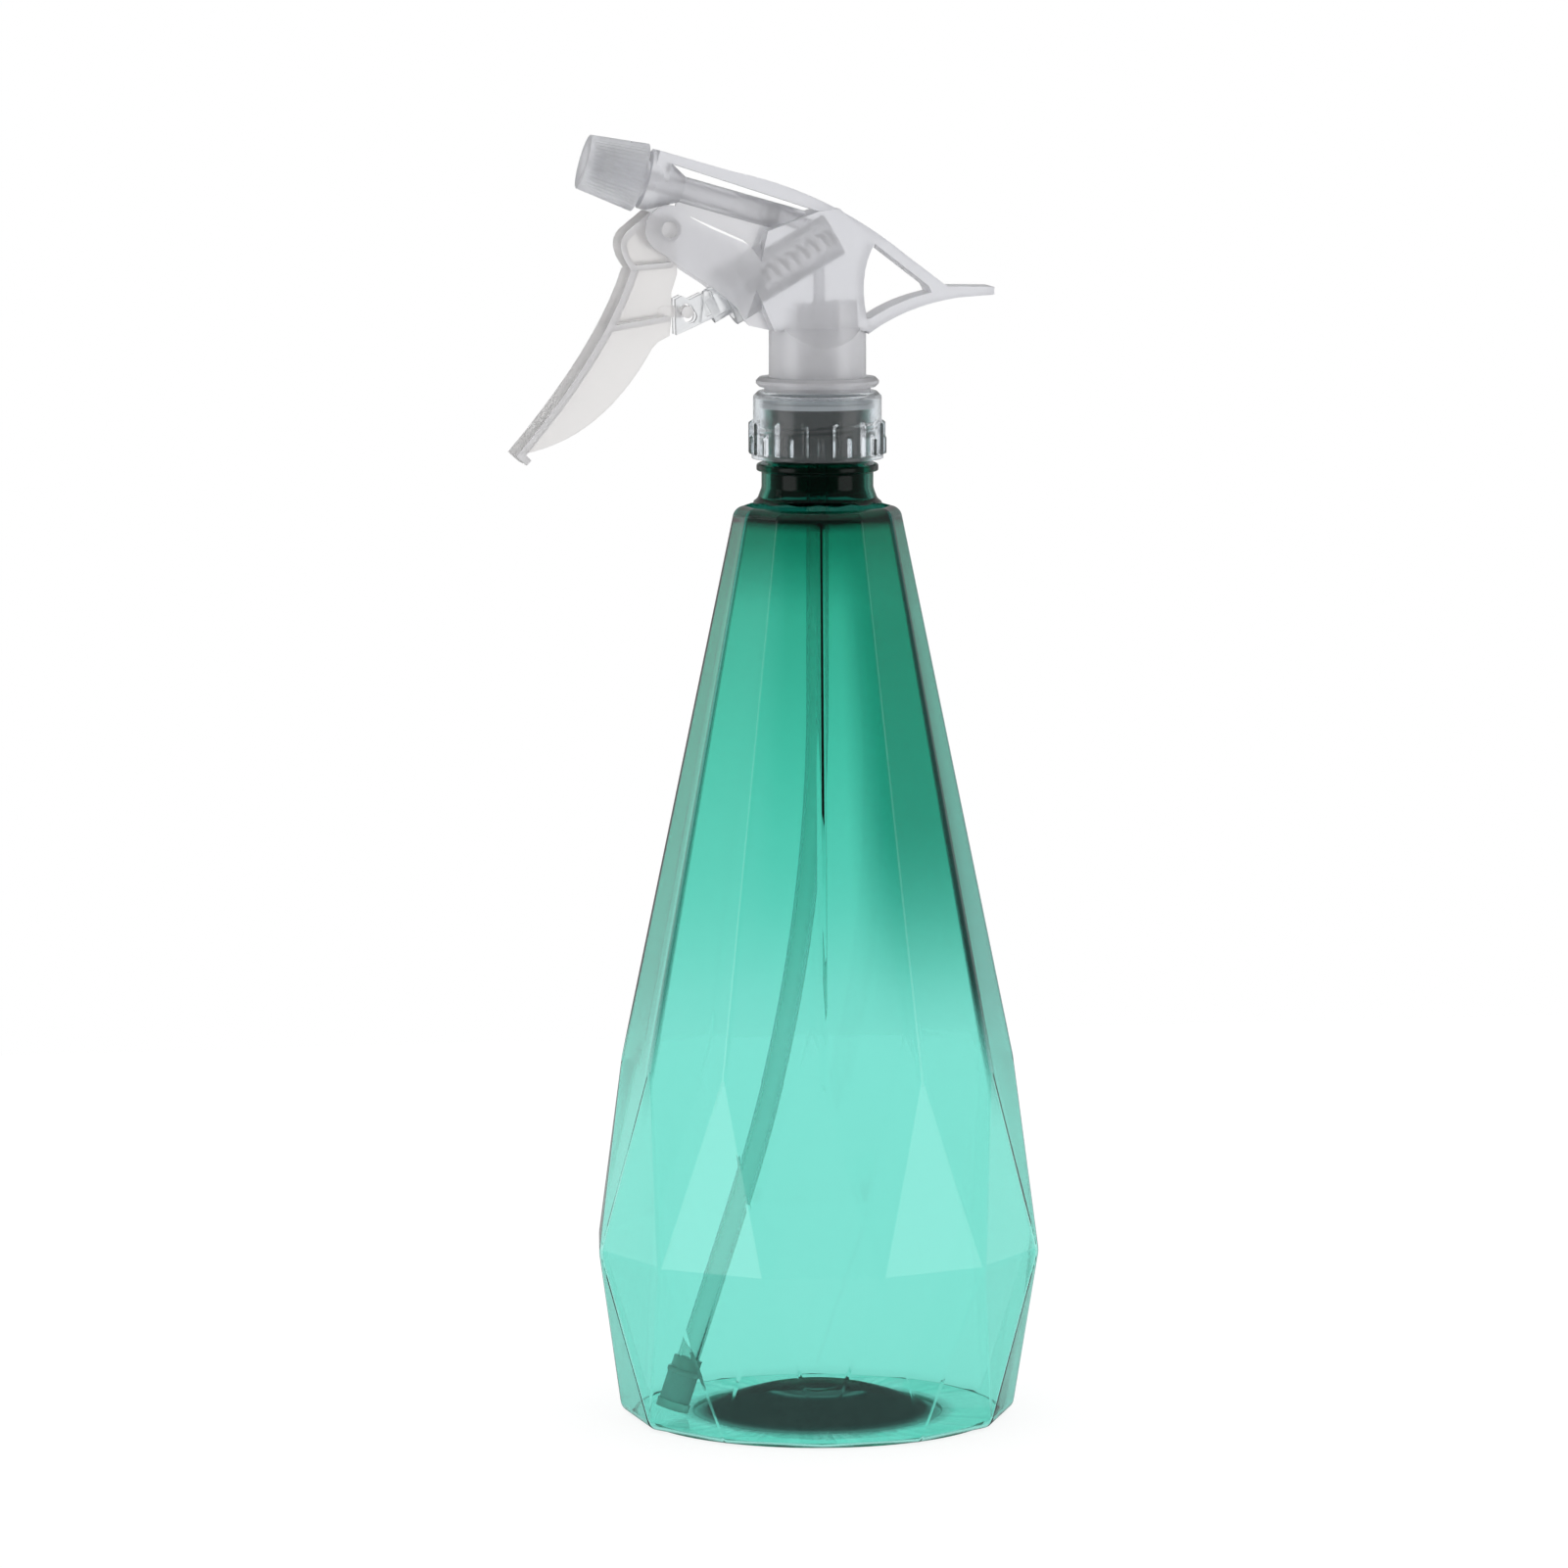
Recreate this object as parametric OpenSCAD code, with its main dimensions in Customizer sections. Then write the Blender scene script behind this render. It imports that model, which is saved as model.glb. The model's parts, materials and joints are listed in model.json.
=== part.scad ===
// Hand mister: a faceted clear bottle with a screw-on trigger sprayer.
// Millimetres. The origin is the centre of the bottle's base, +Z is up,
// and the nozzle and the trigger point towards -X.

/* [Bottle] */
// Radius to the long upper facets, extended down to the base plane
long_facet_r = 62.5; // [60:0.1:64]
// How fast the long facets lean in with height
long_facet_lean = 0.1994; // [0.18:0.0005:0.21]
// Radius to the short upper facets, extended down to the base plane
kite_facet_r = 57.5; // [56:0.1:58.5]
// How fast the short upper facets lean in with height
kite_facet_lean = 0.1246; // [0.12:0.0002:0.13]
// Radius to the lower facets at the base plane
low_facet_r = 46.8; // [45:0.1:47.5]
// How fast the lower facets lean out with height
low_facet_lean = 0.133; // [0.12:0.001:0.15]
// Height of the shoulder
shoulder_z = 218.3; // [217:0.1:219]
// Turn of the bottle's facets under the sprayer head
bottle_turn = -8.25; // [-15:0.25:15]
// Wall thickness
bottle_wall = 0.7; // [0.6:0.1:1.2]
// Rounding of the edges between facets
edge_r = 3; // [2:0.5:4]
// Height of the push-up in the base
push_up_h = 7; // [4:0.5:8]

/* [Neck and collar] */
// Outer radius of the neck below the thread
neck_r = 13.2; // [13:0.1:13.4]
// Height of the neck's rim
neck_top_z = 241.5; // [240.5:0.5:242.5]
// Rise of the neck's thread for one turn
thread_pitch = 4.233; // [4:0.001:4.5]
// Radius of the collar's body
collar_r = 15.3; // [15.2:0.1:16]
// Number of grip ribs around the collar
collar_ribs = 26; // [16:2:32]

/* [Pump] */
// Slope of the pump cylinder above the horizontal
pump_tilt = 30; // [28:0.5:32]
// Bore radius of the pump cylinder
pump_bore_r = 5.5; // [5.3:0.1:5.6]
// Depth of the pump cylinder's bore
pump_depth = 28.5; // [27:0.5:29]
// Number of turns in the return spring
spring_turns = 8; // [6:1:9]
// Wire radius of the return spring
spring_wire_r = 0.35; // [0.3:0.05:0.45]

/* [Nozzle] */
// Slope of the barrel and the nozzle above the horizontal
barrel_tilt = 16; // [15:0.5:17]
// Length of the nozzle cap
nozzle_len = 14; // [13:0.5:15]
// Radius of the nozzle cap at its front
nozzle_front_r = 6.5; // [6.2:0.1:7]
// Radius of the nozzle cap at its back
nozzle_back_r = 8.2; // [7.8:0.1:8.4]

/* [Trigger] */
// Width of the finger plate
finger_plate_w = 15; // [13.4:0.2:17]

/* [Dip tube] */
// Outer radius of the dip tube
tube_r = 2.65; // [2.5:0.05:2.7]
// Length of the straight stretch under the sprayer
tube_straight = 69; // [66:1:70]
// Radius of the bend
tube_bend_r = 385; // [380:1:390]
// Angle of the bend
tube_bend = 18.5; // [17:0.5:19]

/* [Hidden] */
$fn = 64;
eps = 0.01;

// Bottle: two rings of facets, half a facet apart, meet at the girdle.
facets = 12;
half_facet = 180 / facets;
corner = cos(half_facet);
foot_h = 0.4;
foot_outer_r = 43.3;
foot_inner_r = 29;
push_up_r = 27;

// Neck finish, from the shoulder up.
neck_root_r = 12.6;
neck_bore_r = 10.9;
ring_z = 226.6;
ring_h = 1.6;
ring_r = 14.45;
thread_r = 13.75;
thread_h = 2.2;
thread_z = 230.7;
thread_steps = 9;
step_angle = 60;

// Collar, gasket and insert are stacked on the neck's rim.
collar_z = 229.5;
collar_top_z = 245.5;
collar_roof = 1.5;
collar_bore_r = 14.15;
collar_hole_r = 12.68;
rib_proud = 1.1;
gasket_h = 1.2;
insert_flange_z = neck_top_z + gasket_h;
insert_flange_h = 1.2;
insert_flange_r = 13.3;
spigot_r = 3.9;
spigot_top_z = 253.5;
stem_z = insert_flange_z + insert_flange_h;
ball_r = 2;
ball_seat_r = 1.4;

// Housing
stem_r = 11.5;
stem_wall = 1.3;
stem_neck_r = 12.6;
stem_lip_z = 246.5;
stem_lip_r = 14.55;
stem_lip_h = 2.3;
stem_top_z = 260.5;
riser_r = 4.9;
pump_x = -21.3;
pump_z = 268.2;
pump_r = 7;
barrel_x = -42.3;
barrel_z = 296;
barrel_r = 3.1;
barrel_bore_r = 1.6;
barrel_len = 40;
valve_room_r = 2.1;
spigot_len = 10.6;
nozzle_spigot_r = 4.4;
strap_w = 12;
cheek_in = 6.9;
cheek_t = 1.2;
block_w = 14.2;
plug_flange = 1.6;
plug_bore_r = 5.35;
plug_gap = 0.05;
stem_floor = 1.2;

// Trigger and rod
pivot = [-36.5, 284.1];
pivot_r = 1.9;
pivot_gap = 0.06;
rod_pin = [-31.5, 264.5];
rod_pin_r = 1.4;
rod_slot_r = 1.65;
rod_w = 6.4;
fork_gap = 2.6;
finger_top_w = 13;
trigger_web_t = 1.4;
cup_front = 4;
cup_back = 8.2;
spring_start = cup_back + 0.1;
spring_r = 2.75;
spring_end = pump_depth - 0.1;

// Dip tube
tube_top_z = 241.5;
tube_bend_z = tube_top_z - tube_straight;
bend_steps = 12;
tube_wall = 0.8;
tube_azimuth = 185;
tube_tail = 39.3;
filter_r = 4;
filter_len = 10.7;

// Distances from the axis to each family of facets at a height, moved in by inset.
function long_facet(z, inset) =
    long_facet_r - long_facet_lean * z - inset * sqrt(1 + pow(long_facet_lean, 2));
function kite_facet(z, inset) =
    kite_facet_r - kite_facet_lean * z - inset * sqrt(1 + pow(kite_facet_lean, 2));
function low_facet(z, inset) =
    low_facet_r + low_facet_lean * z - inset * sqrt(1 + pow(low_facet_lean, 2));
// Points of a smooth curve that leaves a and reaches c, pulled towards b.
function curve(a, b, c, steps = 8) =
    [for (i = [0 : steps]) let (t = i / steps) pow(1 - t, 2) * a + 2 * t * (1 - t) * b + t * t * c];
// Height where a line that starts at a and rises by b meets one from c by d.
function meet(a, b, c, d) = (c - a) / (b - d);
function apex_z(inset) = meet(long_facet(0, inset) / corner, -long_facet_lean / corner,
    kite_facet(0, inset), -kite_facet_lean);
function girdle_z(inset) = meet(low_facet(0, inset), low_facet_lean,
    kite_facet(0, inset), -kite_facet_lean);

module ring_of_balls(r, z, turn, ball)
    for (i = [0 : facets - 1])
        rotate([0, 0, turn + i * 360 / facets]) translate([r, 0, z]) sphere(ball, $fn = 16);

// The bottle's faceted body, with every face moved in by wall.
module gem(wall) {
    ball = edge_r - wall;
    low_z = foot_h + edge_r;
    high_z = shoulder_z - edge_r;
    rotate([0, 0, bottle_turn]) hull() {
        ring_of_balls(low_facet(low_z, edge_r), low_z, 0, ball);
        ring_of_balls(kite_facet(girdle_z(edge_r), edge_r) / corner, girdle_z(edge_r),
            half_facet, ball);
        ring_of_balls(kite_facet(apex_z(edge_r), edge_r), apex_z(edge_r), 0, ball);
        ring_of_balls(long_facet(high_z, edge_r) / corner, high_z, 0, ball);
    }
}

// Cap of a sphere that stands on the base plane.
module push_up(r, h) {
    ball = (r * r + h * h) / (2 * h);
    intersection() {
        translate([0, 0, h - ball]) sphere(ball, $fn = 96);
        translate([0, 0, -1]) cylinder(r = r, h = h + 1);
    }
}

module neck_outside() {
    rotate_extrude() polygon([[0, shoulder_z - 3], [16.4, shoulder_z - 3], [16.4, shoulder_z],
        [14.2, shoulder_z + 1.6], [neck_r, shoulder_z + 4], [neck_r, ring_z], [ring_r, ring_z],
        [ring_r, ring_z + ring_h], [neck_root_r, ring_z + ring_h + 0.6],
        [neck_root_r, neck_top_z], [0, neck_top_z]]);
}

module neck_inside() {
    rotate_extrude() polygon([[0, shoulder_z - 4], [14.6, shoulder_z - 4],
        [neck_bore_r + 1.2, shoulder_z + 1.4], [neck_bore_r, shoulder_z + 4],
        [neck_bore_r, neck_top_z + 1], [0, neck_top_z + 1]]);
}

// One and a half turns of thread, in short level steps.
module neck_thread() {
    for (i = [0 : thread_steps - 1])
        translate([0, 0, thread_z + i * thread_pitch * step_angle / 360])
            rotate([0, 0, i * step_angle])
                rotate_extrude(angle = step_angle + 1)
                    polygon([[neck_root_r - 0.4, 0], [neck_root_r, 0], [thread_r, 0.7],
                        [thread_r, thread_h - 0.7], [neck_root_r, thread_h],
                        [neck_root_r - 0.4, thread_h]]);
}

module bottle() {
    color([0.35, 0.85, 0.7, 0.6]) {
        difference() {
            union() {
                gem(0);
                neck_outside();
            }
            difference() {
                gem(bottle_wall);
                push_up(push_up_r + 1, push_up_h + bottle_wall);
            }
            neck_inside();
            push_up(push_up_r, push_up_h);
        }
        neck_thread();
        difference() {
            cylinder(r = foot_outer_r, h = foot_h + bottle_wall / 2, $fn = 96);
            translate([0, 0, -1]) cylinder(r = foot_inner_r, h = 3, $fn = 96);
        }
    }
}

module collar_rib(h)
    translate([collar_r - 0.6, -0.65, 0]) cube([rib_proud + 0.6, 1.3, h]);

module collar() {
    color([0.8, 0.84, 0.87, 0.8]) difference() {
        union() {
            translate([0, 0, collar_z]) rotate_extrude()
                polygon([[0, 0], [collar_r + 0.4, 0], [collar_r + 0.4, 0.9], [collar_r, 1.4],
                    [collar_r, collar_top_z - collar_z - 1.5],
                    [collar_r - 1.5, collar_top_z - collar_z], [0, collar_top_z - collar_z]]);
            for (i = [0 : collar_ribs - 1])
                rotate([0, 0, i * 360 / collar_ribs]) translate([0, 0, collar_z + 0.5])
                    collar_rib(i % 2 == 0 ? 8.4 : 5.2);
        }
        translate([0, 0, collar_z - 1])
            cylinder(r = collar_bore_r, h = collar_top_z - collar_roof - collar_z + 1);
        translate([0, 0, collar_z]) cylinder(r = collar_hole_r, h = 20);
    }
}

module disc_ring(outer, inner, z, h)
    translate([0, 0, z]) difference() {
        cylinder(r = outer, h = h);
        translate([0, 0, -1]) cylinder(r = inner, h = h + 2);
    }

module collar_gasket()
    color([0.93, 0.93, 0.9]) disc_ring(13.4, 10.75, neck_top_z, gasket_h);

// Plug that closes the neck, grips the dip tube and seats the inlet ball.
module riser_insert() {
    color([0.85, 0.87, 0.9, 0.8]) rotate_extrude() polygon([
        [tube_r, 230.5], [4.3, 230.5], [4.3, insert_flange_z - 1.4], [9.4, insert_flange_z - 1.4],
        [9.4, 235.5], [10.7, 235.5], [10.7, insert_flange_z],
        [insert_flange_r, insert_flange_z], [insert_flange_r, stem_z], [spigot_r, stem_z],
        [spigot_r, spigot_top_z], [ball_seat_r, spigot_top_z], [ball_seat_r, tube_top_z + eps],
        [tube_r, tube_top_z + eps]]);
}

module inlet_ball()
    color("silver")
        translate([0, 0, spigot_top_z + sqrt(pow(ball_r, 2) - pow(ball_seat_r, 2)) + 0.02])
            sphere(ball_r);

// The pump cylinder's mouth is the origin, and +Z runs up the bore.
module on_pump()
    translate([pump_x, 0, pump_z]) rotate([0, 90 - pump_tilt, 0]) children();

// The back of the nozzle cap is the origin, and +Z points out of the nozzle.
module on_barrel()
    translate([barrel_x, 0, barrel_z]) rotate([0, barrel_tilt - 90, 0]) children();

// A side outline in X and Z, given a width in Y.
module side_slab(w, y = 0)
    translate([0, y + w / 2, 0]) rotate([90, 0, 0]) linear_extrude(w) children();

// Upright tube from the lip to the block. Above, its two sides slope in to the block's faces.
module stem_tube(r, half_width, top)
    intersection() {
        translate([0, 0, stem_lip_z]) cylinder(r = r, h = top - stem_lip_z);
        rotate([90, 0, 90]) linear_extrude(40, center = true) polygon([
            [-half_width - 8, stem_lip_z - 1], [half_width + 8, stem_lip_z - 1],
            [half_width + 8, stem_top_z - 8], [half_width, stem_top_z], [half_width, top + 1],
            [-half_width, top + 1], [-half_width, stem_top_z], [-half_width - 8, stem_top_z - 8]]);
    }

module stem_foot() {
    rotate_extrude() polygon([
        [spigot_r + eps, stem_z], [stem_neck_r, stem_z], [stem_neck_r, stem_lip_z],
        [stem_lip_r - 0.8, stem_lip_z], [stem_lip_r, stem_lip_z + 0.8],
        [stem_lip_r, stem_lip_z + stem_lip_h - 0.8], [stem_lip_r - 0.8, stem_lip_z + stem_lip_h],
        [stem_r - stem_wall, stem_lip_z + stem_lip_h], [stem_r - stem_wall, stem_z + stem_floor],
        [spigot_r + eps, stem_z + stem_floor]]);
}

// Room inside the stem and the foot of the block, round the riser.
module stem_room()
    difference() {
        union() {
            translate([0, 0, stem_z + stem_floor])
                cylinder(r = stem_r - stem_wall, h = stem_lip_z - stem_z);
            stem_tube(stem_r - stem_wall, block_w / 2 - stem_wall, stem_top_z + eps);
            side_slab(block_w - 2 * stem_wall) polygon([[-7.6, stem_top_z - 0.5],
                [8.8, stem_top_z - 0.5], [8.2, 267], [-5.6, 266], [-7, 264]]);
        }
        cylinder(r = riser_r, h = 300);
    }

// Central mass that ties the riser, the cylinder, the barrel and the strap together.
module block_outline()
    polygon(concat([[-11.4, 259.9]], curve([11.4, 259.9], [7.6, 272.5], [12.8, 281.1]),
        [[4, 288.7], [-1, 288], [-13, 283.5], [-16, 270.5]]));

module strap_outline()
    polygon(concat([[-38.3, 302.5]], curve([-20.8, 297.4], [1.5, 292.8], [20.2, 277.6], 12), [
        [30.1, 270.1], [41.4, 269.9], [41.4, 268.1],
        [32.9, 267.5], [27.3, 266.7], [25.6, 270.3], [12.8, 280.2], [6, 284.5], [0.4, 287.7],
        [-35.7, 299.5], [-36.2, 295.5], [-40.4, 295.5]]));

// Curved lower limb of the rear loop.
module loop_outline()
    polygon(concat(curve([11.2, 259.1], [20.5, 265.8], [32.9, 267.5], 12),
        curve([31, 269.4], [20.5, 268.4], [11.8, 262.8], 12), [[10.4, 262.6]]));

// Side plates that carry the trigger's pivot.
module cheek_outline() {
    polygon([[-38, 288.7], [-33, 287.7], [-26.7, 284.3], [-17.4, 280.3], [-14, 275.5],
        [-18.6, 262.3], [-20.8, 266], [-26.4, 270.5], [-35, 276.1], [-39.6, 279.6]]);
    translate(pivot) circle(5.7);
}

module web_outline()
    polygon([[-33, 292.5], [-34.2, 288.5], [-17.6, 281.1], [-10, 274.5], [0, 286.5], [-8, 287.5]]);

module under_web_outline()
    polygon([[-18.4, 263.1], [-16.4, 261], [-11.4, 259.9], [-10, 268.5]]);

module housing() {
    color([0.78, 0.82, 0.87, 0.8]) difference() {
        union() {
            stem_foot();
            stem_tube(stem_r, block_w / 2, stem_top_z);
            translate([0, 0, stem_z]) cylinder(r = riser_r, h = 26);
            on_pump() cylinder(r = pump_r, h = pump_depth + 1.6);
            on_barrel() translate([0, 0, -barrel_len]) cylinder(r = barrel_r, h = barrel_len);
            on_barrel() translate([0, 0, -10.4]) cylinder(r1 = barrel_r, r2 = 7.1, h = 7.4);
            on_barrel() translate([0, 0, -3.1]) cylinder(r = 7.1, h = 1.9);
            on_barrel() translate([0, 0, -1.3]) cylinder(r = nozzle_spigot_r, h = spigot_len + 1.3);
            side_slab(block_w) block_outline();
            side_slab(strap_w) strap_outline();
            side_slab(strap_w) loop_outline();
            side_slab(1.2) web_outline();
            side_slab(1) under_web_outline();
            for (side = [-1, 1])
                side_slab(cheek_t, side * (cheek_in + cheek_t / 2)) cheek_outline();
        }
        stem_room();
        on_pump() translate([0, 0, -plug_flange - plug_gap])
            cylinder(r = pump_r + plug_gap, h = plug_flange + plug_gap);
        on_pump() translate([0, 0, -1]) cylinder(r = pump_bore_r, h = pump_depth + 1);
        on_barrel() translate([0, 0, -barrel_len - 2])
            cylinder(r = barrel_bore_r, h = barrel_len + spigot_len + 4);
        on_barrel() translate([0, 0, -34]) cylinder(r = valve_room_r, h = 11);
        on_barrel() translate([0, 0, 7]) cylinder(r = 2.6, h = 5);
        translate([0, 0, stem_z - 1]) cylinder(r = spigot_r + eps, h = spigot_top_z - stem_z + 1 + eps);
        cylinder(r = 2.7, h = spigot_top_z + 5.6);
        cylinder(r = 1.4, h = 276.5);
        translate([pivot[0], 0, pivot[1]]) rotate([90, 0, 0])
            cylinder(r = pivot_r + eps, h = 30, center = true);
    }
}

// Poppet that lets liquid out to the nozzle and closes on its seat.
module outlet_valve()
    color([0.9, 0.9, 0.93]) on_barrel() translate([0, 0, -31.2]) {
        cylinder(r = 1.9, h = 1.2);
        cylinder(r = 0.9, h = 5);
    }

module outlet_seat()
    color([0.85, 0.87, 0.9]) on_barrel() translate([0, 0, -33.9]) difference() {
        cylinder(r = valve_room_r - eps, h = 2.6);
        translate([0, 0, -1]) cylinder(r = 1.1, h = 5);
    }

// Ring on the mouth of the pump cylinder that keeps the piston in.
module pump_cylinder_plug()
    color([0.75, 0.79, 0.84]) on_pump() translate([0, 0, -plug_flange]) difference() {
        cylinder(r = pump_r, h = plug_flange);
        translate([0, 0, -1]) cylinder(r = plug_bore_r, h = 7);
    }

// Hollow rod with a fork at the front for the trigger's tongue.
module piston_rod() {
    color([0.88, 0.9, 0.93, 0.8]) difference() {
        union() {
            side_slab(rod_w) polygon([[-34.4, 267.5], [-34.2, 259.1], [-24.6, 263.4],
                [-21.6, 264.8], [-24.8, 270.3], [-31, 267.4], [-32.8, 268.3]]);
            on_pump() translate([0, 0, -6]) cylinder(r = 4, h = 10);
            on_pump() cylinder(r = 2.2, h = cup_back - 0.8);
        }
        side_slab(fork_gap) polygon([[-40, 272.5], [-40, 254.5], [-29, 254.5], [-27.4, 267.1],
            [-27.4, 272.5]]);
        for (side = [-1, 1]) side_slab(1.9, side * 2.4)
            polygon([[-28, 269.4], [-26.9, 263.3], [-23.9, 264.6], [-25.9, 269.4]]);
        for (drop = [-1.2, -0.4, 0.4])
            translate([rod_pin[0] - drop * sin(pump_tilt), 0, rod_pin[1] + drop * cos(pump_tilt)])
                rotate([90, 0, 0]) cylinder(r = rod_slot_r, h = 20, center = true);
    }
}

module piston_cup() {
    color([0.6, 0.64, 0.7]) on_pump() rotate_extrude() polygon([
        [2.2 + eps, cup_front + 0.02], [4.4, cup_front + 0.02], [pump_bore_r - 0.06, cup_front + 0.6],
        [pump_bore_r - 0.06, cup_back - 0.2], [4.9, cup_back - 0.2], [4.5, 6.2],
        [3.6, 6.2], [3.4, cup_back], [0, cup_back], [0, cup_back - 0.8 + eps],
        [2.2 + eps, cup_back - 0.8 + eps]]);
}

// Points around one section of the spring's wire, a given way along the coil.
function coil_point(t) = let (
        a = 360 * spring_turns * t,
        z = spring_start + spring_wire_r + t * (spring_end - spring_start - 2 * spring_wire_r))
    [spring_r * cos(a), spring_r * sin(a), z];
function coil_ring(t, sides) = let (c = coil_point(t), a = 360 * spring_turns * t)
    [for (k = [0 : sides - 1]) let (b = 360 * k / sides)
        c + spring_wire_r * [cos(b) * cos(a), cos(b) * sin(a), sin(b)]];

// Skin through a list of rings of points. It closes on itself, or has flat ends.
module loft(rings, closed) {
    n = len(rings);
    sides = len(rings[0]);
    last = closed ? n - 1 : n - 2;
    skin = [for (i = [0 : last], k = [0 : sides - 1])
        let (m = (k + 1) % sides, j = (i + 1) % n)
        [i * sides + k, j * sides + k, j * sides + m, i * sides + m]];
    ends = closed ? [] : [[for (k = [0 : sides - 1]) k],
        [for (k = [sides - 1 : -1 : 0]) (n - 1) * sides + k]];
    polyhedron([for (ring = rings) each ring], concat(skin, ends));
}

module return_spring() {
    steps = spring_turns * 16;
    color("silver") on_pump() loft([for (i = [0 : steps]) coil_ring(i / steps, 8)], false);
}

// Finger plate seen from the side, from its top edge down to the tip.
module finger_outline()
    polygon(concat([[-40.9, 288.2]], curve([-46.4, 283.7], [-49.6, 280.3], [-45.5, 274.8]),
        curve([-45.6, 274.6], [-51.3, 256.5], [-72.8, 231.4], 10),
        [[-70.4, 229.2], [-69.3, 230.4]], curve([-70.5, 231.6], [-49.6, 256], [-43.7, 274.7], 10),
        curve([-43.6, 274.9], [-48.2, 280.2], [-45.2, 282.5]), [[-39.7, 287]]));

module trigger_web_outline()
    polygon(concat([[-40.6, 287.5], [-46.6, 282.7], [-44.7, 274.9], [-50, 260.7], [-57.8, 249.1],
        [-71, 232.1]], curve([-70.6, 231.4], [-51.5, 234.6], [-39.6, 255.9], 14), [[-38.2, 257.4],
        [-35.4, 258.9], [-35, 263.5], [-35, 269], [-33.6, 273.5], [-34, 281.1], [-35, 286.4],
        [-37.5, 286.9]]));

// Flat strip between two points of the side view.
module strip(a, b, t)
    hull() {
        translate(a) circle(t / 2, $fn = 16);
        translate(b) circle(t / 2, $fn = 16);
    }

module trigger() {
    color([0.87, 0.89, 0.91, 0.8]) difference() {
        union() {
            side_slab(finger_top_w) finger_outline();
            intersection() {
                side_slab(finger_plate_w) finger_outline();
                translate([-80, -20, 224.5]) cube([60, 40, 50]);
            }
            side_slab(trigger_web_t) trigger_web_outline();
            side_slab(finger_top_w - 1) strip([-44.8, 275], [-35.8, 275.7], 1.3);
            side_slab(finger_top_w - 1) strip([-50, 260.9], [-36.6, 263.1], 1.3);
            side_slab(2) strip([-37, 264.5], rod_pin, 2.6);
            translate([rod_pin[0], 0, rod_pin[1]]) rotate([90, 0, 0])
                cylinder(r = rod_pin_r, h = rod_w, center = true);
            translate([pivot[0], 0, pivot[1]]) rotate([90, 0, 0])
                cylinder(r = 2.9, h = finger_top_w + 0.2, center = true);
        }
        translate([pivot[0], 0, pivot[1]]) rotate([90, 0, 0])
            cylinder(r = pivot_r + pivot_gap, h = 30, center = true);
    }
}

module trigger_pin()
    color([0.7, 0.74, 0.8]) translate([pivot[0], 0, pivot[1]]) rotate([90, 0, 0])
        cylinder(r = pivot_r, h = 2 * (cheek_in + cheek_t), center = true);

// Grooved plug at the end of the spigot that makes the liquid swirl.
module swirl_core()
    color([0.92, 0.93, 0.95]) on_barrel() difference() {
        union() {
            translate([0, 0, 7.05]) cylinder(r = 2.55, h = 3.5);
            translate([0, 0, 10.5]) cylinder(r = 1.6, h = 1.9);
        }
        for (side = [-1, 1]) translate([side * 2.5 - 0.4, -0.4, 6]) cube([0.8, 0.8, 7]);
        translate([-0.3, -2, 11.9]) cube([0.6, 4, 1]);
    }

module nozzle_seal()
    color([0.85, 0.86, 0.86]) on_barrel() translate([0, 0, 7.6]) difference() {
        cylinder(r = 5.5, h = 1.6);
        translate([0, 0, -1]) cylinder(r = nozzle_spigot_r + 0.05, h = 4);
    }

module nozzle_cap() {
    ribs = 24;
    color([0.8, 0.84, 0.88, 0.8]) on_barrel() difference() {
        union() {
            cylinder(r1 = nozzle_back_r - 0.4, r2 = nozzle_front_r - 0.4, h = nozzle_len);
            for (i = [0 : ribs - 1]) rotate([0, 0, i * 360 / ribs])
                rotate([90, 0, 0]) linear_extrude(0.7, center = true)
                    polygon([[5, 0.4], [nozzle_back_r, 0.4], [nozzle_front_r, nozzle_len - 0.5],
                        [5, nozzle_len - 0.5]]);
        }
        translate([0, 0, -1]) cylinder(r = 5.6, h = 1 + 9.3);
        translate([0, 0, 9]) cylinder(r = nozzle_spigot_r + 0.08, h = 3.5);
        translate([0, 0, 10]) cylinder(r = 0.55, h = 10);
        translate([0, 0, nozzle_len - 0.8]) cylinder(r1 = 1.2, r2 = 4.4, h = 0.9);
    }
}

// The dip tube runs straight down, round a bend, and straight on to the filter.
function bend_point(a) = [tube_bend_r * (1 - cos(a)), 0, tube_bend_z - tube_bend_r * sin(a)];
function tube_path() = concat(
    [for (i = [0 : 4]) [0, [0, 0, tube_top_z - i * tube_straight / 5]]],
    [for (i = [0 : bend_steps]) let (a = tube_bend * i / bend_steps) [a, bend_point(a)]],
    [for (i = [1 : 2]) [tube_bend,
        bend_point(tube_bend) + i / 2 * tube_tail * [sin(tube_bend), 0, -cos(tube_bend)]]]);
function tube_ring(stop, r, sides) = [for (k = [0 : sides - 1]) let (b = 360 * k / sides)
    stop[1] + r * [cos(b) * cos(stop[0]), sin(b), cos(b) * sin(stop[0])]];

module dip_tube() {
    path = tube_path();
    n = len(path);
    outside = [for (i = [0 : n - 1]) tube_ring(path[i], tube_r - eps, 12)];
    inside = [for (i = [n - 1 : -1 : 0]) tube_ring(path[i], tube_r - tube_wall, 12)];
    color([0.8, 0.9, 0.88, 0.7]) rotate([0, 0, tube_azimuth])
        loft(concat(outside, inside), true);
}

// The end of the dip tube is the origin, and -Z points out of it.
module pipe(r, bore, h) difference() {
    cylinder(r = r, h = h);
    translate([0, 0, -1]) cylinder(r = bore, h = h + 2);
}

module on_tube_end()
    rotate([0, 0, tube_azimuth]) translate(tube_path()[len(tube_path()) - 1][1])
        rotate([0, -tube_bend, 0]) children();

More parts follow.
